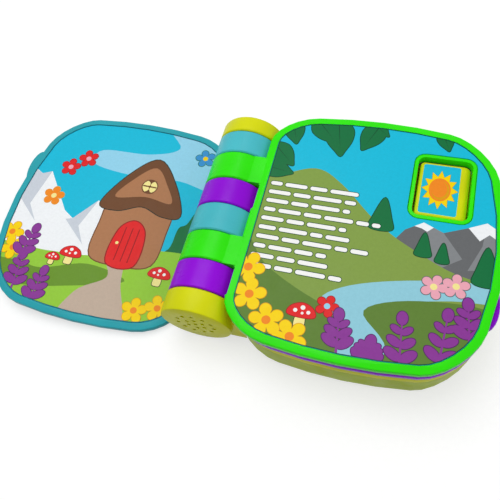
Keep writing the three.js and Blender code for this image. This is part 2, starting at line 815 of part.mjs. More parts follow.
function baseTray() {
  const w = BASE_WALL;
  const above = BASE_SEAM + 2 * BASE_ROUND_HEIGHT;
  const cutAway = block([0, 2 * LEAF_REACH], span(0, 2 * LEAF_HALF_LENGTH),
    [BASE_SEAM, above + 1]);
  const outside = plate(baseLoop(BASE_INSET), BASE_BOTTOM, above,
    BASE_ROUND_WIDTH, BASE_ROUND_HEIGHT, 4);
  const inside = plate(baseLoop(BASE_INSET + w), trayFloor, above,
    BASE_ROUND_WIDTH - w, BASE_ROUND_HEIGHT - w, 2);
  let body = outside.subtract(inside).subtract(cutAway);
  for (const [x, y] of screwPlaces) {
    body = body.add(post(BOSS_RADIUS, x, y, trayFloor - 0.5, BOSS_TOP));
  }
  for (const [x, y] of boardCorners) {
    body = body.add(post(BOARD_POST_RADIUS, x, y, trayFloor - 0.5, boardBottom - RUNNING_GAP, 12));
  }
  body = body.add(block(
    grow(doorX, COMPARTMENT_WALL),
    grow(doorY, COMPARTMENT_WALL),
    [trayFloor - 0.5, cavityTop + COMPARTMENT_WALL],
  ));
  const [px, py] = sliderPlace;
  const pad = [span(px, SLIDER_POCKET[0] + 2), span(py, SLIDER_POCKET[1] + 2)];
  body = body.add(block(...pad, [trayFloor - 0.5, padTop]));
  for (const [x, y] of screwPlaces) {
    body = body
      .subtract(post(screwHole, x, y, BASE_BOTTOM - 1, BOSS_TOP + 1, 12))
      .subtract(post(headHole, x, y, BASE_BOTTOM - 1, SCREW_RECESS_TOP));
  }
  const doorRoom = [grow(doorX, RUNNING_GAP), grow(doorY, RUNNING_GAP)];
  body = body
    .subtract(block(...doorRoom, [BASE_BOTTOM - 1, cavityBottom]))
    .subtract(block(cavityX, cavityY, [cavityBottom - 0.5, cavityTop]))
    .subtract(post(screwHole, ...doorScrewPlace, BASE_BOTTOM, doorHeadTop + doorScrewLength + 0.5, 12));
  const slotHalf = SLIDER_TRAVEL / 2 + SLIDER_STEM[0] + RUNNING_GAP;
  return body
    .subtract(block(span(px, SLIDER_POCKET[0]), span(py, SLIDER_POCKET[1]),
      [BASE_BOTTOM - 1, pocketTop]))
    .subtract(block(span(px, slotHalf), span(py, SLIDER_STEM[1] + RUNNING_GAP),
      [pocketTop - 0.5, padTop + 1]));
}

function baseDeck() {
  const w = BASE_WALL;
  const below = BASE_SEAM - 10;
  const cutAway = block([0, 2 * LEAF_REACH], span(0, 2 * LEAF_HALF_LENGTH),
    [below - 1, BASE_SEAM + RUNNING_GAP]);
  let body = plate(baseLoop(BASE_INSET), below, deckTop, DECK_EDGE_ROUND)
    .subtract(plate(baseLoop(BASE_INSET + w), below - 1, deckUnder))
    .subtract(cutAway);
  for (const [x, y] of screwPlaces) {
    body = body.add(post(BOSS_RADIUS - 1, x, y, BOSS_TOP + RUNNING_GAP, deckUnder + 0.5));
  }
  for (const [x, y] of screwPlaces) {
    body = body.subtract(post(screwHole, x, y, BOSS_TOP - 1, caseHeadTop + SCREW_LENGTH + 0.5, 12));
  }
  const mouth = roundedRectangle(
    grow(buttonX, BUTTON_DECK_GAP),
    grow(buttonY, BUTTON_DECK_GAP),
    1.5,
  );
  return body
    .subtract(labelSheet(deckTop - LABEL_RECESS, deckTop + 1, 0, true))
    .subtract(plate(mouth, deckUnder - 1, deckTop + 1));
}

const deckLabelLow = deckTop - LABEL_RECESS + LABEL_GAP;
const deckLabel = labelSheet(deckLabelLow, deckLabelLow + LABEL_THICKNESS, LABEL_GAP, true);

function batteryDoor() {
  const [x, y] = doorScrewPlace;
  return block(doorX, doorY, [BASE_BOTTOM, doorTop])
    .subtract(post(screwHole, x, y, BASE_BOTTOM - 1, doorTop + 1, 12))
    .subtract(post(headHole, x, y, BASE_BOTTOM - 1, doorHeadTop + RUNNING_GAP));
}

// Board

const [partX, partY] = buttonCentre;
const board = block(boardX, boardY, [boardBottom, BOARD_TOP]);
const domeSwitch = block(
  span(partX, SWITCH_SIZE / 2),
  span(partY, SWITCH_SIZE / 2),
  [boardSeat, boardSeat + SWITCH_HEIGHT * 0.75],
).add(post(SWITCH_CAP_RADIUS, partX, partY, boardSeat + 1, boardSeat + SWITCH_HEIGHT, 12));
const chip = block(
  span(partX - PART_OFFSET * 1.6, CHIP_SIZE / 2),
  span(partY - PART_OFFSET * 1.8, CHIP_SIZE / 2),
  [boardSeat, boardSeat + CHIP_HEIGHT],
);
const led = turned([
  [0, 0],
  [LED_RADIUS, 0],
  [LED_RADIUS, LED_HEIGHT - LED_RADIUS],
  [LED_RADIUS * 0.7, LED_HEIGHT - LED_RADIUS * 0.3],
  [0, LED_HEIGHT],
], 16).rotate([90, 0, 0]).translate([partX - PART_OFFSET, partY, boardSeat]);
const capacitor = post(CAPACITOR_RADIUS, partX + PART_OFFSET * 2, partY - PART_OFFSET * 2,
  boardSeat, boardSeat + CAPACITOR_HEIGHT);

// Power switch

const sliderX = sliderPlace[0] - SLIDER_TRAVEL / 2;
const sliderY = sliderPlace[1];
const knobTop = pocketTop - RUNNING_GAP;
const stemTop = padTop + SLIDER_STEM_LENGTH;
const slider = block(
  span(sliderX, SLIDER_KNOB[0]),
  span(sliderY, SLIDER_KNOB[1]),
  [BASE_BOTTOM + SLIDER_KNOB_SINK, knobTop],
).add(block(
  span(sliderX, SLIDER_STEM[0]),
  span(sliderY, SLIDER_STEM[1]),
  [knobTop - 0.5, stemTop],
));
const switchFoot = padTop + RUNNING_GAP;
const switchBody = block(
  span(sliderPlace[0], SWITCH_BODY[0]),
  span(sliderY, SWITCH_BODY[1]),
  [switchFoot, switchFoot + SWITCH_BODY[2]],
).subtract(block(
  span(sliderPlace[0], SLIDER_TRAVEL / 2 + SLIDER_STEM[0] + RUNNING_GAP),
  span(sliderY, SLIDER_STEM[1] + RUNNING_GAP),
  [switchFoot - 1, stemTop + RUNNING_GAP],
));

// Assembly

const book = new THREE.Group();

function put(parent, name, body, look) {
  const mesh = new THREE.Mesh(geometryOf(body), look);
  mesh.name = name;
  parent.add(mesh);
}

const cover = new THREE.Group();
cover.rotation.y = -THREE.MathUtils.degToRad(COVER_OPEN_ANGLE);
book.add(cover);
function putRings(parent, name, plan, look) {
  put(parent, `${name}_near`, leafRing(plan, plan.spans[0]), look);
  put(parent, `${name}_far`, leafRing(plan, plan.spans[1]), look);
}

put(cover, 'teal_leaf', leaf(tealPlan), TEAL);
putRings(cover, 'teal_ring', tealPlan, TEAL);
put(cover, 'teal_inner_label', tealLabels.under, SKY_PRINT);
put(cover, 'teal_cover_label', tealLabels.over, COVER_PRINT);

put(book, 'green_leaf', greenLeaf, GREEN);
putRings(book, 'green_ring', greenPlan, GREEN);
put(book, 'green_window_frame', windowFrame(greenBottom), GREEN);
put(book, 'green_front_label', greenLabels.over, MEADOW_PRINT);
put(book, 'green_back_label', greenLabels.under, SKY_PRINT);
put(book, 'purple_leaf', leaf(purplePlan), PURPLE);
putRings(book, 'purple_ring', purplePlan, PURPLE);
put(book, 'purple_window_frame', windowFrame(purpleBottom, WINDOW_STEP), PURPLE);
put(book, 'purple_front_label', purpleLabels.over, MEADOW_PRINT);
put(book, 'purple_back_label', purpleLabels.under, SKY_PRINT);

put(book, 'base_tray', baseTray(), LIME_SIDE);
put(book, 'base_deck', baseDeck(), LIME);
put(book, 'deck_label', deckLabel, MEADOW_PRINT);
put(book, 'spine_end_near', nearEndBody, LIME);
put(book, 'spine_end_far', farEndBody, LIME);
put(book, 'spine_core', coreBody, WHITE_PLASTIC);

put(book, 'sun_button', buttonBody(), LIME);
put(book, 'sun_label', buttonLabel, SKY_PRINT);
put(book, 'sun_button_spring', buttonSpring, STEEL);

put(book, 'speaker_frame', speakerFrame, DARK_STEEL);
put(book, 'speaker_cone', speakerCone, CONE_PAPER);
put(book, 'speaker_magnet', speakerMagnet, DARK_STEEL);

put(book, 'circuit_board', board, BOARD_GREEN);
put(book, 'dome_switch', domeSwitch, BLACK_PLASTIC);
put(book, 'sound_chip', chip, BLACK_PLASTIC);
put(book, 'sun_led', led, WHITE_PLASTIC);
put(book, 'capacitor', capacitor, GREY_PLASTIC);

for (let i = 0; i < CELL_COUNT; i += 1) {
  put(book, `battery_${i + 1}`, cell(i), CELL_WRAP);
  put(book, `contact_spring_${i + 1}`, contactSpring(i), STEEL);
}
put(book, 'contact_plate_1', contactPlate(cavityX[0] + RUNNING_GAP), STEEL);
put(book, 'contact_plate_2',
  contactPlate(cavityX[1] - RUNNING_GAP - CONTACT_PLATE_THICKNESS), STEEL);
put(book, 'battery_door', batteryDoor(), LIME_SIDE);
put(book, 'battery_door_screw', screw(...doorScrewPlace, doorHeadTop, doorScrewLength), STEEL);
screwPlaces.forEach(([x, y], i) => {
  put(book, `case_screw_${i + 1}`, screw(x, y, caseHeadTop, SCREW_LENGTH), STEEL);
});

put(book, 'power_slider', slider, BLACK_PLASTIC);
put(book, 'power_switch_body', switchBody, GREY_PLASTIC);

// origin at the bottom centre of the open book's box
book.updateMatrixWorld(true);
const bounds = new THREE.Box3().setFromObject(book, true);
const root = new THREE.Group();
root.add(book);
book.position.set(-(bounds.min.x + bounds.max.x) / 2, 0, -BASE_BOTTOM);

export default root;
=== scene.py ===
import json
import math

import bpy
from mathutils import Matrix, Vector


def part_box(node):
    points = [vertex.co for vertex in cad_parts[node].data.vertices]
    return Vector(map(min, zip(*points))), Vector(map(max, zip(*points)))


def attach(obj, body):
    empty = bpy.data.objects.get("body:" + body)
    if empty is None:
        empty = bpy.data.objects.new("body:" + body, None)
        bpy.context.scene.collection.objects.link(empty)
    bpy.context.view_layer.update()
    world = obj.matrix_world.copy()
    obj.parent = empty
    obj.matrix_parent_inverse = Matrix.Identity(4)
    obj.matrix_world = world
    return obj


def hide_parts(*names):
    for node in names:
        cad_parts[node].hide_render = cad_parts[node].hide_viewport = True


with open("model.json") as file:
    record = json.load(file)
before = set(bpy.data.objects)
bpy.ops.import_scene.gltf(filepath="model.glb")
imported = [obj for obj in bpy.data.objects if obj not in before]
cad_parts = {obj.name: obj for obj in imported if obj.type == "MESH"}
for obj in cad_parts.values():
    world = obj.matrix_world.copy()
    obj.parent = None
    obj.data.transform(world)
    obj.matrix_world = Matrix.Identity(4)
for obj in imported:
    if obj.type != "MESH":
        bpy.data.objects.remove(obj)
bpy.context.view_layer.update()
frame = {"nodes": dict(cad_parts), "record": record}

# the spine's axis in the row frame, and the cover's turn when the book lies open
MM = 0.001
AXIS_X = -0.1925
AXIS_Z = 29.0
COVER_TURN = math.radians(-176.5)


# Materials

def linear(rgb, gain=1.0):
    """An sRGB colour from 0 to 255 as linear values."""
    out = []
    for value in rgb:
        c = value / 255
        c = c / 12.92 if c <= 0.04045 else ((c + 0.055) / 1.055) ** 2.4
        out.append(min(1.0, c * gain))
    return (*out, 1.0)


def new_material(name):
    mat = bpy.data.materials.new(name)
    mat.use_nodes = True
    tree = mat.node_tree
    tree.nodes.clear()
    out = tree.nodes.new("ShaderNodeOutputMaterial")
    shader = tree.nodes.new("ShaderNodeBsdfPrincipled")
    tree.links.new(shader.outputs["BSDF"], out.inputs["Surface"])
    return mat, tree, shader


def noise(tree, scale, detail=2.0, rough=0.5):
    coords = tree.nodes.new("ShaderNodeTexCoord")
    node = tree.nodes.new("ShaderNodeTexNoise")
    node.inputs["Scale"].default_value = scale
    node.inputs["Detail"].default_value = detail
    node.inputs["Roughness"].default_value = rough
    tree.links.new(coords.outputs["Object"], node.inputs["Vector"])
    return node.outputs["Fac"]


def ramp(tree, source, low, high, start=0.35, end=0.65):
    node = tree.nodes.new("ShaderNodeValToRGB")
    node.color_ramp.elements[0].position = start
    node.color_ramp.elements[0].color = low
    node.color_ramp.elements[1].position = end
    node.color_ramp.elements[1].color = high
    tree.links.new(source, node.inputs["Fac"])
    return node.outputs["Color"]


def spread(tree, source, low, high):
    node = tree.nodes.new("ShaderNodeMapRange")
    node.inputs["From Min"].default_value = 0.3
    node.inputs["From Max"].default_value = 0.7
    node.inputs["To Min"].default_value = low
    node.inputs["To Max"].default_value = high
    tree.links.new(source, node.inputs["Value"])
    return node.outputs["Result"]


def relief(tree, shader, source, strength, distance):
    node = tree.nodes.new("ShaderNodeBump")
    node.inputs["Strength"].default_value = strength
    node.inputs["Distance"].default_value = distance
    tree.links.new(source, node.inputs["Height"])
    tree.links.new(node.outputs["Normal"], shader.inputs["Normal"])


def plastic(name, rgb, rough=0.3, vary=0.05, grain=900.0, strength=0.06, gloss=0.11):
    mat, tree, shader = new_material(name)
    cloud = noise(tree, 28.0, 3.0)
    colour = ramp(tree, cloud, linear(rgb, 1 - vary), linear(rgb, 1 + vary))
    tree.links.new(colour, shader.inputs["Base Color"])
    smear = noise(tree, 90.0, 2.0)
    tree.links.new(spread(tree, smear, rough * 0.85, rough * 1.2), shader.inputs["Roughness"])
    relief(tree, shader, noise(tree, grain, 3.0), strength, 0.0002)
    shader.inputs["Specular IOR Level"].default_value = gloss
    return mat


def printed(name, rgb, vary=0.03):
    """Ink on a laminated sheet: faint mottling under a smooth film."""
    mat, tree, shader = new_material(name)
    mottle = noise(tree, 420.0, 4.0, 0.7)
    colour = ramp(tree, mottle, linear(rgb, 1 - vary), linear(rgb, 1 + vary))
    tree.links.new(colour, shader.inputs["Base Color"])
    tree.links.new(spread(tree, noise(tree, 120.0), 0.3, 0.42), shader.inputs["Roughness"])
    relief(tree, shader, noise(tree, 260.0, 2.0), 0.03, 0.0002)
    shader.inputs["Specular IOR Level"].default_value = 0.1
    return mat


def metal(name, rgb, rough):
    mat, tree, shader = new_material(name)
    brushed = noise(tree, 700.0, 4.0)
    colour = ramp(tree, brushed, linear(rgb, 0.85), linear(rgb, 1.1))
    tree.links.new(colour, shader.inputs["Base Color"])
    tree.links.new(spread(tree, brushed, rough * 0.8, rough * 1.3), shader.inputs["Roughness"])
    relief(tree, shader, brushed, 0.1, 0.0001)
    shader.inputs["Metallic"].default_value = 1.0
    return mat


LOOKS = {
    "teal_plastic": plastic("teal_plastic", (46, 166, 178), 0.32),
    "teal_ring_plastic": plastic("teal_ring_plastic", (76, 190, 202), 0.3),
    "green_plastic": plastic("green_plastic", (50, 236, 10), 0.28, 0.04),
    "purple_plastic": plastic("purple_plastic", (148, 4, 220), 0.3),
    "lime_plastic": plastic("lime_plastic", (216, 219, 14), 0.36),
    "olive_plastic": plastic("olive_plastic", (170, 192, 12), 0.42),
    "black_plastic": plastic("black_plastic", (34, 35, 38), 0.45, 0.1),
    "grey_plastic": plastic("grey_plastic", (109, 113, 118), 0.5),
    "white_plastic": plastic("white_plastic", (228, 228, 222), 0.4, 0.02),
    "board_green": plastic("board_green", (31, 107, 58), 0.4, 0.15, 300.0, 0.3),
    "cone_paper": plastic("cone_paper", (43, 43, 45), 0.85, 0.2, 500.0, 0.5),
    "cell_wrap": plastic("cell_wrap", (47, 74, 107), 0.35, 0.05),
    "steel": metal("steel", (185, 188, 192), 0.3),
    "dark_steel": metal("dark_steel", (85, 88, 92), 0.42),
}
INKS = {
    "sky": (22, 190, 222),
    "haze": (150, 214, 240),
    "blue": (60, 150, 214),
    "snow": (246, 249, 252),
    "shade": (205, 212, 222),
    "rock": (104, 106, 108),
    "rock_light": (134, 137, 140),
    "lime": (150, 205, 60),
    "grass": (106, 148, 42),
    "olive": (132, 160, 72),
    "moss": (96, 130, 52),
    "river": (146, 206, 222),
    "path": (196, 176, 158),
    "forest": (18, 112, 62),
    "pine": (10, 70, 40),
    "brown": (176, 122, 84),
    "bark": (112, 72, 44),
    "cream": (250, 236, 152),
    "red": (228, 36, 38),
    "dark_red": (150, 22, 26),
    "yellow": (255, 216, 0),
    "amber": (226, 160, 20),
    "orange": (246, 140, 34),
    "violet": (140, 56, 152),
    "plum": (84, 30, 96),
    "pink": (240, 170, 186),
    "deep_teal": (10, 96, 112),
    "ink": (28, 44, 36),
    "white": (250, 250, 248),
}
INK = {name: printed("print_" + name, rgb) for name, rgb in INKS.items()}

NODE_LOOK = {
    "teal_ring_near": LOOKS["teal_ring_plastic"],
    "teal_ring_far": LOOKS["teal_ring_plastic"],
    "teal_inner_label": INK["sky"],
    "teal_cover_label": INK["sky"],
    "green_front_label": INK["sky"],
    "green_back_label": INK["haze"],
    "purple_front_label": INK["haze"],
    "purple_back_label": INK["sky"],
    "deck_label": INK["sky"],
    "sun_label": INK["sky"],
}
slot_of = {row["node"]: row["material_slot"] for row in frame["record"]["subparts"]}


def smoothing(angle):
    """A modifier group that joins the facets of round faces and keeps real edges sharp."""
    group = bpy.data.node_groups.new("smooth_round_faces", "GeometryNodeTree")
    group.interface.new_socket("Geometry", in_out="INPUT", socket_type="NodeSocketGeometry")
    group.interface.new_socket("Geometry", in_out="OUTPUT", socket_type="NodeSocketGeometry")
    nodes = group.nodes
    start = nodes.new("NodeGroupInput")
    end = nodes.new("NodeGroupOutput")
    bare = nodes.new("GeometryNodeRemoveAttribute")
    bare.inputs["Name"].default_value = "custom_normal"
    merge = nodes.new("GeometryNodeMergeByDistance")
    merge.inputs["Distance"].default_value = 1e-6
    faces = nodes.new("GeometryNodeSetShadeSmooth")
    faces.domain = "FACE"
    edges = nodes.new("GeometryNodeSetShadeSmooth")
    edges.domain = "EDGE"
    bend = nodes.new("GeometryNodeInputMeshEdgeAngle")
    small = nodes.new("FunctionNodeCompare")
    small.data_type = "FLOAT"
    small.operation = "LESS_THAN"
    small.inputs["B"].default_value = math.radians(angle)
    link = group.links.new
    link(start.outputs[0], bare.inputs["Geometry"])
    link(bare.outputs["Geometry"], merge.inputs["Geometry"])
    link(merge.outputs["Geometry"], faces.inputs["Geometry"])
    link(faces.outputs["Geometry"], edges.inputs["Geometry"])
    link(bend.outputs["Unsigned Angle"], small.inputs["A"])
    link(small.outputs["Result"], edges.inputs["Shade Smooth"])
    link(edges.outputs["Geometry"], end.inputs[0])
    return group


ROUND = smoothing(34)
for name, obj in frame["nodes"].items():
    look = NODE_LOOK.get(name) or LOOKS.get(slot_of[name]) or INK["sky"]
    for slot in obj.material_slots:
        slot.link = "OBJECT"
        slot.material = look
    modifier = obj.modifiers.new("round", "NODES")
    modifier.node_group = ROUND


# Outlines of printed shapes, in millimetres from the spine's axis

def ellipse(cx, cy, a, b=None, turn=0.0, steps=36):
    b = a if b is None else b
    t = math.radians(turn)
    points = []
    for i in range(steps):
        u = 2 * math.pi * i / steps
        x, y = a * math.cos(u), b * math.sin(u)
        points.append((cx + x * math.cos(t) - y * math.sin(t),
                       cy + x * math.sin(t) + y * math.cos(t)))
    return points


def smooth(points, steps=6):
    """A closed smooth curve through the points."""
    out = []
    n = len(points)
    for i in range(n):
        p0, p1, p2, p3 = (points[(i + k - 1) % n] for k in range(4))
        for s in range(steps):
            t = s / steps
            out.append(tuple(
                0.5 * (2 * b + (c - a) * t + (2 * a - 5 * b + 4 * c - d) * t * t
                       + (3 * b - a - 3 * c + d) * t ** 3)
                for a, b, c, d in zip(p0, p1, p2, p3)))
    return out


def pill(x0, x1, y, height):
    r = height / 2
    ends = [(x1 - r, -90), (x0 + r, 90)]
    points = []
    for cx, start in ends:
        for i in range(9):
            a = math.radians(start + 180 * i / 8)
            points.append((cx + r * math.cos(a), y + r * math.sin(a)))
    return points


def petals(cx, cy, inner, outer, count, turn=0.0, steps=12):
    """A blossom: its outline goes in and out once for each petal."""
    points = []
    for i in range(count * steps):
        u = 2 * math.pi * i / (count * steps)
        swing = abs(math.cos(count * u / 2)) ** 0.6
        r = inner + (outer - inner) * swing
        a = u + math.radians(turn)
        points.append((cx + r * math.cos(a), cy + r * math.sin(a)))
    return points


def leaf_shape(x, y, length, width, turn):
    """A pointed leaf from its stem at x, y."""
    t = math.radians(turn)
    side = [(0.0, 0.0), (0.12, 0.3), (0.35, 0.5), (0.62, 0.42), (0.86, 0.18), (1.0, 0.0)]
    loop = side + [(u, -v) for u, v in side[-2:0:-1]]
    curve = smooth([(u * length, v * width) for u, v in loop], 4)
    return [(x + u * math.cos(t) - v * math.sin(t), y + u * math.sin(t) + v * math.cos(t))
            for u, v in curve]


def grown(points, by):
    """The outline moved outwards by a distance."""
    n = len(points)
    area = sum(points[i][0] * points[(i + 1) % n][1] - points[(i + 1) % n][0] * points[i][1]
               for i in range(n))
    side = 1 if area > 0 else -1
    out = []
    for i in range(n):
        (ax, ay), (bx, by_), (cx, cy) = points[i - 1], points[i], points[(i + 1) % n]
        dx, dy = cx - ax, cy - ay
        size = math.hypot(dx, dy) or 1.0
        out.append((bx + side * by * dy / size, by_ - side * by * dx / size))
    return out


def clipped(points, outline):
    """The part of a shape inside a convex outline that runs anticlockwise."""
    result = list(points)
    for i in range(len(outline)):
        (ax, ay), (bx, by) = outline[i - 1], outline[i]
        source, result = result, []
        for j in range(len(source)):
            p, q = source[j - 1], source[j]
            dp = (bx - ax) * (p[1] - ay) - (by - ay) * (p[0] - ax)
            dq = (bx - ax) * (q[1] - ay) - (by - ay) * (q[0] - ax)
            if (dp >= 0) != (dq >= 0):
                t = dp / (dp - dq)
                result.append((p[0] + t * (q[0] - p[0]), p[1] + t * (q[1] - p[1])))
            if dq >= 0:
                result.append(q)
        if not result:
            return []
    return result


def hull(points):
    points = sorted(set(points))
    halves = []
    for ordered in (points, points[::-1]):
        half = []
        for p in ordered:
            while len(half) > 1 and ((half[-1][0] - half[-2][0]) * (p[1] - half[-2][1])
                                     - (half[-1][1] - half[-2][1]) * (p[0] - half[-2][0])) <= 0:
                half.pop()
            half.append(p)
        halves += half[:-1]
    return halves


# Sheets that the pictures lie on

STEP = 0.006
LOOP_SHARE = 0.9
INSET = 0.2
OUTLINE = 0.5


class Sheet:
    """One face of a label: shapes are laid on it one over another."""

    def __init__(self, node, body, facing, turned=False, outline=None, z=0.0):
        self.node, self.body, self.facing = node, body, facing
        self.turn = Matrix.Rotation(COVER_TURN if turned else 0.0, 3, "Y")
        self.level = 0
        if outline:
            self.outline, self.z = outline, z
            return
        back = self.turn.transposed()
        flat, heights = [], []
        for v in frame["nodes"][node].data.vertices:
            p = back @ Vector((v.co.x / MM - AXIS_X, v.co.y / MM, v.co.z / MM - AXIS_Z))
            flat.append((round(p.x, 3), round(p.y, 3)))
            heights.append(round(p.z, 3))
        self.z = max(heights) if facing > 0 else min(heights)
        self.outline = grown(hull(flat), -INSET)

    def place(self, x, y, z):
        p = self.turn @ Vector((x, y, z))
        return ((p.x + AXIS_X) * MM, p.y * MM, (p.z + AXIS_Z) * MM)

    def paint(self, ink, *loops):
        """Lay closed slabs of ink, each from the sheet's face up to its own level."""
        self.level += 1
        vertices, faces = [], []
        for i, loop in enumerate(loops):
            z = self.z + self.facing * STEP * (self.level + LOOP_SHARE * i / len(loops))
            shape = clipped(loop, self.outline)
            if len(shape) < 3:
                continue
            area = sum(shape[i - 1][0] * shape[i][1] - shape[i][0] * shape[i - 1][1]
                       for i in range(len(shape)))
            if (area > 0) != (self.facing > 0):
                shape = shape[::-1]
            n, first = len(shape), len(vertices)
            vertices += [self.place(x, y, h) for h in (z, self.z) for x, y in shape]
            faces.append([first + k for k in range(n)])
            faces.append([first + 2 * n - 1 - k for k in range(n)])
            faces += [[first + k, first + n + k, first + n + (k + 1) % n, first + (k + 1) % n]
                      for k in range(n)]
        if not faces:
            return None
        name = f"{self.node}_{self.level:02d}_{ink}"
        mesh = bpy.data.meshes.new(name)
        mesh.from_pydata(vertices, [], faces)
        mesh.materials.append(INK[ink])
        obj = bpy.data.objects.new(name, mesh)
        bpy.context.scene.collection.objects.link(obj)
        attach(obj, self.body)
        return obj

    def painted_shade_rim(self, ink, width):
        """A thin dark line along the sheet's edge, painted shade where the border stands over it.
        """
        outer, inner = self.outline, grown(self.outline, -width)
        self.paint(ink, *[[outer[i - 1], outer[i], inner[i], inner[i - 1]]
                          for i in range(len(outer))])

    def outlined(self, ink, edge, width, *loops):
        self.paint(edge, *[grown(loop, width) for loop in loops])
        self.paint(ink, *loops)


# Motifs

def flower(sheet, ink, edge, heart, spots, size, turn=0.0):
    loops = [petals(x, y, size * 0.42, size, 5, turn + 17 * i) for i, (x, y) in enumerate(spots)]
    sheet.outlined(ink, edge, OUTLINE, *loops)
    sheet.paint(heart, *[ellipse(x, y, size * 0.26) for x, y in spots])


def spike(x, y, height, lean=0.0):
    """Blossoms up a stem: returns the stem and the blossoms."""
    t = math.radians(90 + lean)
    stem = [(x - 0.9, y), (x + 0.9, y),
            (x + 0.5 + height * math.cos(t), y + height * math.sin(t)),
            (x - 0.5 + height * math.cos(t), y + height * math.sin(t))]
    rows = [(0.34, 6.2), (0.56, 5.4), (0.77, 4.3)]
    blossoms = [ellipse(x + height * math.cos(t), y + height * math.sin(t), 3.6, 4.8, lean)]
    for share, size in rows:
        px = x + share * height * math.cos(t)
        py = y + share * height * math.sin(t)
        blossoms.append(ellipse(px - size * 0.8, py + size * 0.2, size, size * 0.55, -35 + lean))
        blossoms.append(ellipse(px + size * 0.8, py + size * 0.2, size, size * 0.55, 35 + lean))
    return stem, blossoms


def spikes(sheet, places):
    parts = [spike(*place) for place in places]
    blossoms = [loop for _, loops in parts for loop in loops]
    sheet.paint("plum", *[grown(loop, OUTLINE) for loop in blossoms])
    sheet.paint("violet", *[stem for stem, _ in parts])
    sheet.paint("violet", *blossoms)


def toadstool(sheet, x, y, size):
    cap = smooth([(x - size, y), (x - size * 0.8, y + size * 0.62), (x, y + size * 0.95),
                  (x + size * 0.8, y + size * 0.62), (x + size, y), (x, y - size * 0.16)])
    foot = smooth([(x - size * 0.28, y), (x + size * 0.28, y), (x + size * 0.36, y - size * 0.8),
                   (x, y - size * 0.92), (x - size * 0.36, y - size * 0.8)])
    sheet.outlined("cream", "ink", OUTLINE, foot)
    sheet.outlined("red", "dark_red", OUTLINE, cap)
    spots = [(-0.45, 0.32, 0.15), (0.05, 0.6, 0.17), (0.5, 0.3, 0.14), (0.08, 0.18, 0.1)]
    sheet.paint("white", *[ellipse(x + u * size, y + v * size, r * size) for u, v, r in spots])


def fir(x, y, width, height):
    return smooth([(x - width / 2, y), (x - width * 0.42, y + height * 0.3), (x, y + height),
                   (x + width * 0.42, y + height * 0.3), (x + width / 2, y),
                   (x, y - height * 0.08)])


# Left page: a hut in the meadow under white peaks
page = Sheet("teal_inner_label", "teal_cover", -1, turned=True)
page.paint("haze", smooth([(20, 42), (20, 100), (84, 100), (70, 78), (96, 66), (140, 62),
                           (142, 46), (100, 41), (60, 44)]))
page.paint("snow", [(88, -60), (112, 2), (124, 10), (140, -12), (150, -6), (178, 30),
                    (186, 26), (220, 44), (220, -60)])
page.paint("shade", [(124, 10), (132, -18), (122, -34), (146, -14), (140, -12)],
           [(178, 30), (184, -6), (172, -22), (210, 10), (215, 40), (186, 26)])
page.paint("forest", smooth([(18, -36), (20, 22), (34, 20), (40, 4), (46, -2), (48, -22),
                             (60, -34)]))
page.paint("lime", smooth([(10, -34), (60, -26), (110, -42), (150, -46), (215, -52),
                           (230, -120), (100, -130), (0, -120)]))
page.paint("grass", smooth([(74, -58), (110, -50), (148, -62), (172, -60), (215, -64),
                            (215, -78), (160, -80), (118, -72)]))
page.paint("path", smooth([(82, -40), (97, -42), (90, -58), (112, -76), (118, -110),
                           (58, -112), (66, -84), (76, -62)]))
HUT_WALL = smooth([(58, -40), (55, -10), (58, 14), (84, 20), (112, 14), (115, -10), (112, -42),
                   (84, -46)])
HUT_ROOF = smooth([(48, 10), (62, 40), (84, 62), (106, 42), (122, 8), (104, 4), (84, 12), (64, 6)])
page.outlined("brown", "bark", 1.0, HUT_WALL)
page.outlined("bark", "ink", 0.8, HUT_ROOF)
page.paint("brown", smooth([(60, 20), (68, 36), (84, 53), (101, 37), (111, 17), (84, 22)]))
page.outlined("red", "dark_red", 1.0, smooth([(72, -44), (72, -14), (84, -3), (96, -14),
                                              (96, -45)]))
page.outlined("cream", "bark", 1.0, ellipse(84, 33, 6.5))
page.paint("dark_red", *[[(x - 0.4, -42), (x + 0.4, -42), (x + 0.4, -10), (x - 0.4, -10)]
                         for x in (78, 84, 90)])
page.paint("cream", ellipse(93, -26, 1.4))
page.paint("bark", pill(83.3, 84.7, 33, 13), pill(77.6, 90.4, 33, 1.4))
flower(page, "red", "dark_red", "pink", [(150, 50), (163, 38)], 9)
flower(page, "orange", "amber", "cream", [(166, 6)], 9.5, 20)
flower(page, "blue", "forest", "yellow", [(44, 72)], 9)
toadstool(page, 48, -48, 9)
toadstool(page, 128, -46, 9)
toadstool(page, 142, -52, 6)
flower(page, "yellow", "amber", "orange", [(40, -74), (58, -80), (187, -36), (180, -50)], 10.5)
spikes(page, [(146, -98, 34, 4), (164, -90, 36, -6), (172, -62, 34, 8)])

# Painted shade: a dark teal line along the label's edge, for the shadow of the border above it.
page.painted_shade_rim("deep_teal", 0.45)

# Right page: hills, a river, and ten bars in place of the lines of verse
page = Sheet("green_front_label", "green_page", 1)
page.paint("rock", [(104, -40), (134, 6), (146, 14), (160, 8), (176, 15), (188, 21), (230, -6),
                    (230, -60)])
page.paint("rock_light", [(146, 14), (152, -6), (146, -30), (174, -10), (160, 8)],
           [(188, 21), (186, 2), (178, -18), (215, -10), (215, 4)])
page.paint("snow", [(176, 15), (188, 21), (202, 12), (196, 8), (190, 12), (184, 6)],
           [(140, 10), (146, 14), (153, 11), (149, 7), (145, 9)])
page.paint("olive", smooth([(10, 30), (34, 36), (62, 47), (84, 36), (112, 10), (140, -8),
                            (180, -24), (230, -20), (230, -130), (0, -130)]))
page.paint("moss", smooth([(10, -10), (44, -40), (92, -62), (140, -70), (150, -130), (0, -130)]))
page.paint("river", smooth([(200, -26), (150, -31), (104, -44), (86, -60), (110, -76), (104, -96),
                            (148, -120), (142, -84), (122, -66), (134, -52), (170, -42),
                            (204, -38)]))
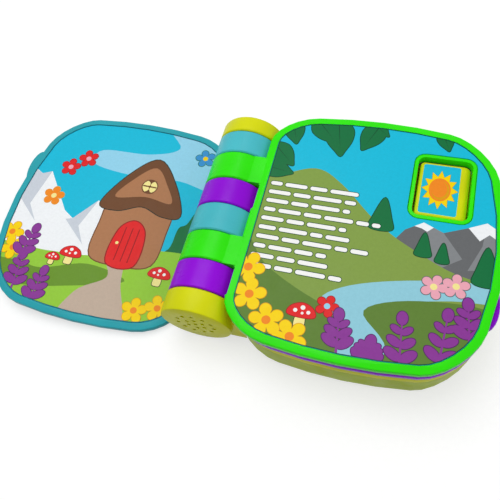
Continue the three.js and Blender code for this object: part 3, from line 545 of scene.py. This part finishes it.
page.paint("moss", smooth([(116, -60), (150, -46), (200, -46), (220, -80), (190, -130),
                           (120, -120), (134, -84)]))
page.outlined("forest", "pine", 0.6, fir(117, 4, 17, 26), fir(148, -12, 11, 18),
              fir(161, -15, 9, 15),
              fir(190, -26, 17, 28))
LEAVES = [(34, 92, 26, 16, -72), (52, 96, 32, 20, -48), (70, 98, 38, 23, -78),
          (104, 97, 30, 18, -112), (96, 98, 20, 11, -40), (150, 97, 20, 12, -70),
          (24, 66, 28, 17, -44), (20, 44, 26, 16, -10)]
page.outlined("forest", "pine", 0.6, *[leaf_shape(*leaf) for leaf in LEAVES])
veins = []
for x, y, length, width, turn in LEAVES:
    t = math.radians(turn)
    tip = (x + 0.86 * length * math.cos(t), y + 0.86 * length * math.sin(t))
    across = (0.4 * math.sin(t), -0.4 * math.cos(t))
    veins.append([(x - across[0], y - across[1]), (x + across[0], y + across[1]), tip])
page.paint("pine", *veins)
BAR_ENDS = [99, 97, 94, 117, 94, 101, 112, 84, 88, 100]
BAR_START = 31
FIRST_BAR = 28.5
BAR_PITCH = 7.75
BAR_HEIGHT = 3.3
WORD_LENGTHS = (9, 17, 13, 21)
WORD_GAP = 2.2
SHORTEST_WORD = 5
words = []
for row, end in enumerate(BAR_ENDS):
    x = BAR_START
    k = end % 3
    while x < end - SHORTEST_WORD:
        stop = min(x + WORD_LENGTHS[k % len(WORD_LENGTHS)], end)
        words.append((x, stop, FIRST_BAR - BAR_PITCH * row))
        x = stop + WORD_GAP
        k += 1
page.paint("pine", *[pill(a - OUTLINE, b + OUTLINE, y, BAR_HEIGHT + 2.2 * OUTLINE)
                     for a, b, y in words])
page.paint("white", *[pill(a, b, y, BAR_HEIGHT) for a, b, y in words])
toadstool(page, 76, -72, 9.5)
flower(page, "red", "dark_red", "haze", [(92, -62)], 8)
flower(page, "yellow", "amber", "orange", [(32, -44), (38, -64), (54, -80), (72, -88)], 12)
flower(page, "pink", "rock", "cream", [(158, -34), (172, -31)], 9)
spikes(page, [(104, -96, 30, 6), (144, -100, 40, 4), (166, -96, 44, -4), (184, -74, 32, 6),
              (122, -98, 18, -6)])
# Painted shade: a dark green line along the label's edge, for the shadow of the border above it.
page.painted_shade_rim("pine", 0.5)


def plain_page(node, body, facing, turned=False):
    """A simpler picture for the faces that are hidden while the book lies open."""
    sheet = Sheet(node, body, facing, turned)
    sheet.paint("snow", smooth([(40, 70), (46, 80), (60, 84), (72, 78), (84, 74), (80, 66),
                                (60, 64)]))
    sheet.paint("lime", smooth([(0, 4), (50, 14), (100, 2), (150, -16), (230, -8), (230, -130),
                                (0, -130)]))
    sheet.paint("olive", smooth([(0, -40), (60, -30), (120, -46), (180, -40), (230, -52),
                                 (230, -130), (0, -130)]))
    sheet.outlined("forest", "pine", 0.6, fir(52, 0, 22, 38), fir(74, -6, 22, 38),
                   fir(100, -14, 22, 38))
    flower(sheet, "yellow", "amber", "orange",
           [(60, -60), (92, -72), (124, -60), (156, -74), (110, -82)], 11)
    flower(sheet, "red", "dark_red", "cream", [(44, -44), (136, -36), (172, -52)], 9)


plain_page("green_back_label", "green_page", -1)
plain_page("purple_front_label", "purple_page", 1)
plain_page("purple_back_label", "purple_page", -1)
plain_page("deck_label", "housing", 1)
plain_page("teal_cover_label", "teal_cover", 1, turned=True)


# Block under the window, its outer side falling away, with a plain sun on top

def rounded(x0, x1, y0, y1, r, steps=6):
    points = []
    for cx, cy, start in ((x1 - r, y0 + r, -90), (x1 - r, y1 - r, 0),
                          (x0 + r, y1 - r, 90), (x0 + r, y0 + r, 180)):
        for i in range(steps + 1):
            a = math.radians(start + 90 * i / steps)
            points.append((cx + r * math.cos(a), cy + r * math.sin(a)))
    return points


# height, left, right, and how far the ends draw in
BLOCK_LEVELS = [
    (7.0, 137.9, 172.4, 0.0),
    (13.8, 137.9, 172.7, 0.0),
    (15.4, 137.9, 174.0, 0.0),
    (17.2, 138.0, 174.4, 0.1),
    (18.8, 138.1, 173.4, 0.2),
    (19.8, 138.3, 171.8, 0.4),
    (20.3, 138.7, 170.2, 0.8),
    (20.5, 139.2, 168.8, 1.2),
]
BLOCK_Y = (21.5, 68.9)
BLOCK_CORNER = 2.6


def sun_block():
    vertices, faces = [], []
    for z, x0, x1, draw in BLOCK_LEVELS:
        loop = rounded(x0, x1, BLOCK_Y[0] + draw, BLOCK_Y[1] - draw, BLOCK_CORNER)
        n = len(loop)
        vertices += [((x + AXIS_X) * MM, y * MM, (z + AXIS_Z) * MM) for x, y in loop]
    for level in range(len(BLOCK_LEVELS) - 1):
        for i in range(n):
            j = (i + 1) % n
            faces.append([level * n + i, level * n + j, (level + 1) * n + j, (level + 1) * n + i])
    faces.append(list(range(n))[::-1])
    faces.append(list(range(len(vertices) - n, len(vertices))))
    mesh = bpy.data.meshes.new("sun_block")
    mesh.from_pydata(vertices, [], faces)
    mesh.materials.append(LOOKS["lime_plastic"])
    mesh.shade_smooth()
    obj = bpy.data.objects.new("sun_block", mesh)
    bpy.context.scene.collection.objects.link(obj)
    modifier = obj.modifiers.new("round", "NODES")
    modifier.node_group = ROUND
    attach(obj, "sun_push_button")
    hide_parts("sun_button")


sun_block()
STICKER = rounded(140.6, 167.2, 24.0, 66.8, 1.6)
page = Sheet("sun_sticker", "sun_push_button", 1, outline=STICKER, z=BLOCK_LEVELS[-1][0])
sticker = page.paint("sky", STICKER)
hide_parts("sun_label")
SUN = (153.8, 45.4)
RAYS = 12
RAY_TIP = 16.8
RAY_FOOT = 11.4
SUN_NARROWING = 0.76
rays = []
for i in range(2 * RAYS):
    radius = RAY_FOOT if i % 2 else RAY_TIP
    angle = math.pi * i / RAYS
    rays.append((SUN[0] + SUN_NARROWING * radius * math.cos(angle),
                 SUN[1] + radius * math.sin(angle)))
page.outlined("yellow", "bark", 0.35, rays)
page.paint("orange", ellipse(*SUN, 7.8, 10.1))
page.paint("amber", ellipse(SUN[0] + 0.6, SUN[1] - 0.6, 6.2, 8.2))
page.paint("orange", ellipse(SUN[0] - 0.4, SUN[1] + 0.6, 5.6, 7.4))


# Joints between the rings' tongues and their leaves, filled flush

def bead(name, body, x0, x1, y0, y1, z, look):
    """A shallow rounded strip along the edge where a tongue meets its leaf."""
    profile = [(x0, 0.5), (x0 + 0.1, 0.06), ((x0 + x1) / 2, 0.0), (x1 - 0.1, 0.06), (x1, 0.5)]
    vertices, faces = [], []
    for y in (y0, y1):
        vertices += [((x + AXIS_X) * MM, y * MM, (z - depth + AXIS_Z) * MM) for x, depth in profile]
    n = len(profile)
    for i in range(n):
        j = (i + 1) % n
        faces.append([i, j, n + j, n + i])
    faces += [list(range(n))[::-1], list(range(n, 2 * n))]
    mesh = bpy.data.meshes.new(name)
    mesh.from_pydata(vertices, [], faces)
    mesh.materials.append(look)
    obj = bpy.data.objects.new(name, mesh)
    bpy.context.scene.collection.objects.link(obj)
    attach(obj, body)


def span_of(node):
    low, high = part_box(node)
    return low[1] / MM, high[1] / MM


# from the tongue's end to the plate, over the gap between them, and just above both
SEAM = (22.35, 23.25)
SEAM_TOP = 23.74
SEAM_ENDS = 0.2
for end in ("near", "far"):
    y0, y1 = span_of(f"green_ring_{end}")
    bead(f"green_bead_{end}", "green_page", *SEAM, y0 - SEAM_ENDS, y1 + SEAM_ENDS, SEAM_TOP,
         LOOKS["green_plastic"])


# Stage, light and camera

FLOOR_HALF = 4.0
FLOOR_GLOW = 0.64
FILL_LIGHT = 0.44


def stage_floor():
    mesh = bpy.data.meshes.new("floor")
    corners = ((-1, -1), (1, -1), (1, 1), (-1, 1))
    mesh.from_pydata([(FLOOR_HALF * x, FLOOR_HALF * y, 0) for x, y in corners], [], [[0, 1, 2, 3]])
    mat, tree, shader = new_material("floor_white")
    shader.inputs["Roughness"].default_value = 0.9
    shader.inputs["Specular IOR Level"].default_value = 0.1
    speckle = ramp(tree, noise(tree, 300.0), linear((172, 172, 172)), linear((176, 176, 176)))
    tree.links.new(speckle, shader.inputs["Base Color"])
    path = tree.nodes.new("ShaderNodeLightPath")
    glow = tree.nodes.new("ShaderNodeEmission")
    glow.inputs["Color"].default_value = (1, 1, 1, 1)
    lift = tree.nodes.new("ShaderNodeMath")
    lift.operation = "MULTIPLY"
    lift.inputs[1].default_value = FLOOR_GLOW
    seen = tree.nodes.new("ShaderNodeMath")
    seen.operation = "MAXIMUM"
    tree.links.new(path.outputs["Is Camera Ray"], seen.inputs[0])
    tree.links.new(path.outputs["Is Glossy Ray"], seen.inputs[1])
    tree.links.new(seen.outputs[0], lift.inputs[0])
    tree.links.new(lift.outputs[0], glow.inputs["Strength"])
    both = tree.nodes.new("ShaderNodeAddShader")
    out = next(n for n in tree.nodes if n.type == "OUTPUT_MATERIAL")
    tree.links.new(shader.outputs["BSDF"], both.inputs[0])
    tree.links.new(glow.outputs["Emission"], both.inputs[1])
    tree.links.new(both.outputs[0], out.inputs["Surface"])
    mesh.materials.append(mat)
    floor = bpy.data.objects.new("floor", mesh)
    bpy.context.scene.collection.objects.link(floor)


def sky_light():
    world = bpy.data.worlds.new("studio")
    bpy.context.scene.world = world
    world.use_nodes = True
    tree = world.node_tree
    tree.nodes.clear()
    out = tree.nodes.new("ShaderNodeOutputWorld")
    seen = tree.nodes.new("ShaderNodeBackground")
    fill = tree.nodes.new("ShaderNodeBackground")
    seen.inputs["Strength"].default_value = 1.0
    fill.inputs["Strength"].default_value = FILL_LIGHT
    for node in (seen, fill):
        node.inputs["Color"].default_value = (1, 1, 1, 1)
    path = tree.nodes.new("ShaderNodeLightPath")
    glossy = tree.nodes.new("ShaderNodeMath")
    glossy.operation = "MAXIMUM"
    shown = tree.nodes.new("ShaderNodeMath")
    shown.operation = "MAXIMUM"
    mix = tree.nodes.new("ShaderNodeMixShader")
    link = tree.links.new
    link(path.outputs["Is Camera Ray"], glossy.inputs[0])
    link(path.outputs["Is Glossy Ray"], glossy.inputs[1])
    link(glossy.outputs[0], shown.inputs[0])
    link(path.outputs["Is Transmission Ray"], shown.inputs[1])
    link(shown.outputs[0], mix.inputs[0])
    link(fill.outputs[0], mix.inputs[1])
    link(seen.outputs[0], mix.inputs[2])
    link(mix.outputs[0], out.inputs["Surface"])


def lamp(name, place, target, size, power):
    data = bpy.data.lights.new(name, "AREA")
    data.shape = "SQUARE"
    data.size = size
    data.energy = power
    obj = bpy.data.objects.new(name, data)
    obj.location = place
    obj.rotation_euler = (Vector(target) - Vector(place)).to_track_quat("-Z", "Y").to_euler()
    bpy.context.scene.collection.objects.link(obj)


stage_floor()
sky_light()
lamp("key", (-0.3, 0.35, 1.5), (0, 0, 0), 1.1, 13.0)
lamp("side", (1.2, -0.2, 1.0), (0.1, 0, 0.03), 0.6, 2.0)

CAMERA_PLACE = (0.12074, -0.19618, 0.40223)
CAMERA_RIGHT = (0.95829127, 0.25484147, -0.12935872)
CAMERA_UP = (-0.17043876, 0.87293311, 0.45709781)
CAMERA_BACK = (0.22940899, -0.41598510, 0.87995904)
camera_data = bpy.data.cameras.new("camera")
camera_data.sensor_width = 36.0
camera_data.lens = 39.716
camera_data.clip_start = 0.01
camera = bpy.data.objects.new("camera", camera_data)
turn = Matrix((CAMERA_RIGHT, CAMERA_UP, CAMERA_BACK)).transposed().to_4x4()
camera.matrix_world = Matrix.Translation(CAMERA_PLACE) @ turn
bpy.context.scene.collection.objects.link(camera)
bpy.context.scene.camera = camera
bpy.context.scene.view_settings.view_transform = "Standard"
